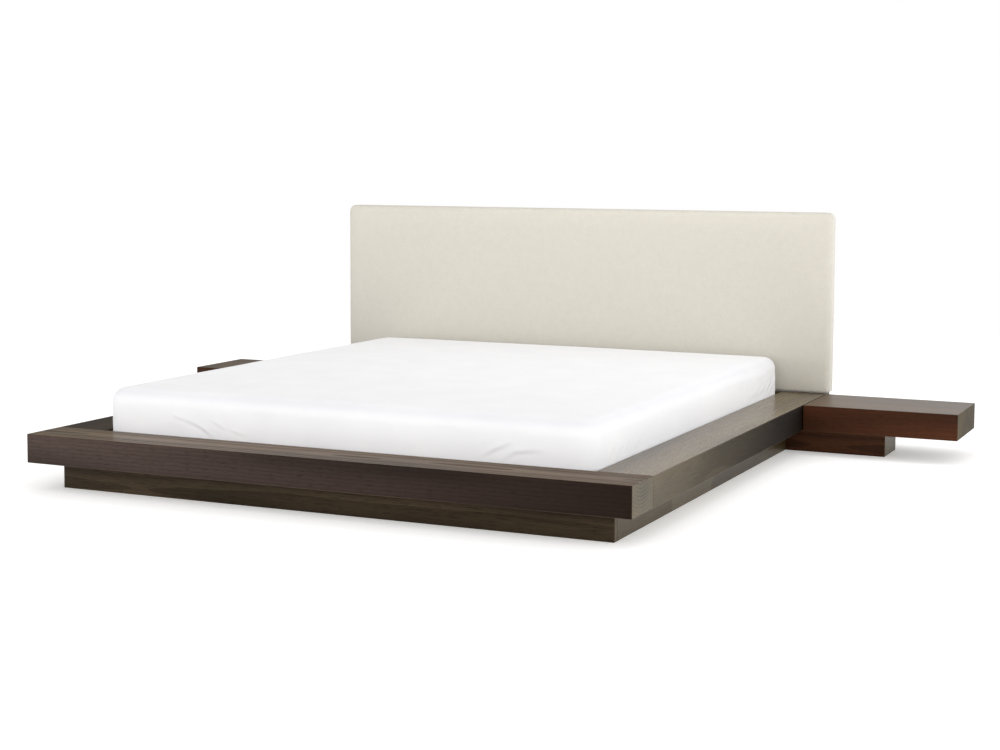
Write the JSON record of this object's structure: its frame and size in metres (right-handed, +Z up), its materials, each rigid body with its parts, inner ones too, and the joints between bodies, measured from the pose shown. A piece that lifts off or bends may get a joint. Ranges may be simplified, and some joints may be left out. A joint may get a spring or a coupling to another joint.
{
  "type": "water bed with bedside tables",
  "caption": "Low platform bed in dark stained veneer with a soft-sided water mattress, a padded cream headboard and a floating bedside table on each side.",
  "frame": {"origin": "on the floor, at the middle of the bed's length and width", "axes": "+X to the right seen from the foot end, +Y towards the headboard, +Z up"},
  "size_m": [3.338, 2.3022, 0.9156],
  "materials": {
    "dark_veneer": "dark brown stained oak veneer, satin lacquer",
    "raw_board": "raw particleboard and softwood",
    "cream_upholstery": "smooth cream upholstery, fine grain",
    "foam": "open-cell foam",
    "dust_cloth": "black non-woven cloth",
    "zinc_steel": "zinc-plated steel",
    "quilted_cover": "quilted knitted cover",
    "cotton_sheet": "white stretched cotton jersey",
    "liner_vinyl": "thin soft vinyl",
    "water_vinyl": "soft vinyl filled with water",
    "heater_film": "vinyl film over heating tracks",
    "valve_plastic": "light moulded plastic",
    "dark_plastic": "dark grey moulded plastic"
  },
  "bodies": {
    "bed": {"foot_rail": "dark_veneer", "foot_rail_liner": "dark_veneer", "side_rail_left": "dark_veneer", "side_rail_right": "dark_veneer", "side_rail_liner_left": "dark_veneer", "side_rail_liner_right": "dark_veneer", "head_rail": "dark_veneer", "plinth_board_foot": "dark_veneer", "plinth_board_head": "dark_veneer", "plinth_board_left": "dark_veneer", "plinth_board_right": "dark_veneer", "headboard_strut_left": "dark_veneer", "headboard_strut_right": "dark_veneer", "table_box_left": "dark_veneer", "table_box_right": "dark_veneer", "table_plinth_left": "dark_veneer", "table_plinth_right": "dark_veneer", "centre_spine": "raw_board", "cross_beam_1": "raw_board", "cross_beam_2": "raw_board", "cross_beam_3": "raw_board", "cross_beam_4": "raw_board", "deck_panel_1": "raw_board", "deck_panel_2": "raw_board", "deck_panel_3": "raw_board", "headboard_core": "raw_board", "headboard_cover": "cream_upholstery", "headboard_foam": "foam", "bolster_left": "foam", "bolster_right": "foam", "bolster_foot": "foam", "bolster_head": "foam", "thermal_divider": "foam", "headboard_back_cloth": "dust_cloth", "strut_bolt_left_lower": "zinc_steel", "strut_bolt_left_upper": "zinc_steel", "strut_bolt_right_lower": "zinc_steel", "strut_bolt_right_upper": "zinc_steel", "table_bracket_left": "zinc_steel", "table_bracket_right": "zinc_steel", "cover_base": "quilted_cover", "cover_top": "quilted_cover", "fitted_sheet": "cotton_sheet", "safety_liner": "liner_vinyl", "water_core_left": "water_vinyl", "water_core_right": "water_vinyl", "heater_pad_left": "heater_film", "heater_pad_right": "heater_film", "fill_valve_left": "valve_plastic", "fill_valve_right": "valve_plastic", "control_housing_left": "valve_plastic", "control_housing_right": "valve_plastic"},
    "cap_left": {"fill_cap_left": "dark_plastic"},
    "cap_right": {"fill_cap_right": "dark_plastic"},
    "dial_left": {"temperature_dial_left": "dark_plastic"},
    "dial_right": {"temperature_dial_right": "dark_plastic"},
    "rocker_left": {"rocker_switch_left": "dark_plastic"},
    "rocker_right": {"rocker_switch_right": "dark_plastic"}
  },
  "joints": [
    {"name": "dial_turn_left", "type": "hinge", "parent": "bed", "child": "dial_left", "pos_m": [-0.472, 1.10565, 0.046], "axis": [0, -1, 0], "range_deg": [0, 270]},
    {"name": "rocker_tilt_left", "type": "hinge", "parent": "bed", "child": "rocker_left", "pos_m": [-0.416, 1.10235, 0.046], "axis": [1, 0, 0], "range_deg": [0, 16]},
    {"name": "cap_unscrew_left", "type": "hinge", "parent": "bed", "child": "cap_left", "pos_m": [-0.3661, -0.54615, 0.3148], "axis": [0, 0, 1], "range_deg": [0, 540]},
    {"name": "dial_turn_right", "type": "hinge", "parent": "bed", "child": "dial_right", "pos_m": [0.428, 1.10565, 0.046], "axis": [0, -1, 0], "range_deg": [0, 270]},
    {"name": "rocker_tilt_right", "type": "hinge", "parent": "bed", "child": "rocker_right", "pos_m": [0.484, 1.10235, 0.046], "axis": [1, 0, 0], "range_deg": [0, 16]},
    {"name": "cap_unscrew_right", "type": "hinge", "parent": "bed", "child": "cap_right", "pos_m": [0.3661, -0.54615, 0.3148], "axis": [0, 0, 1], "range_deg": [0, 540]}
  ]
}
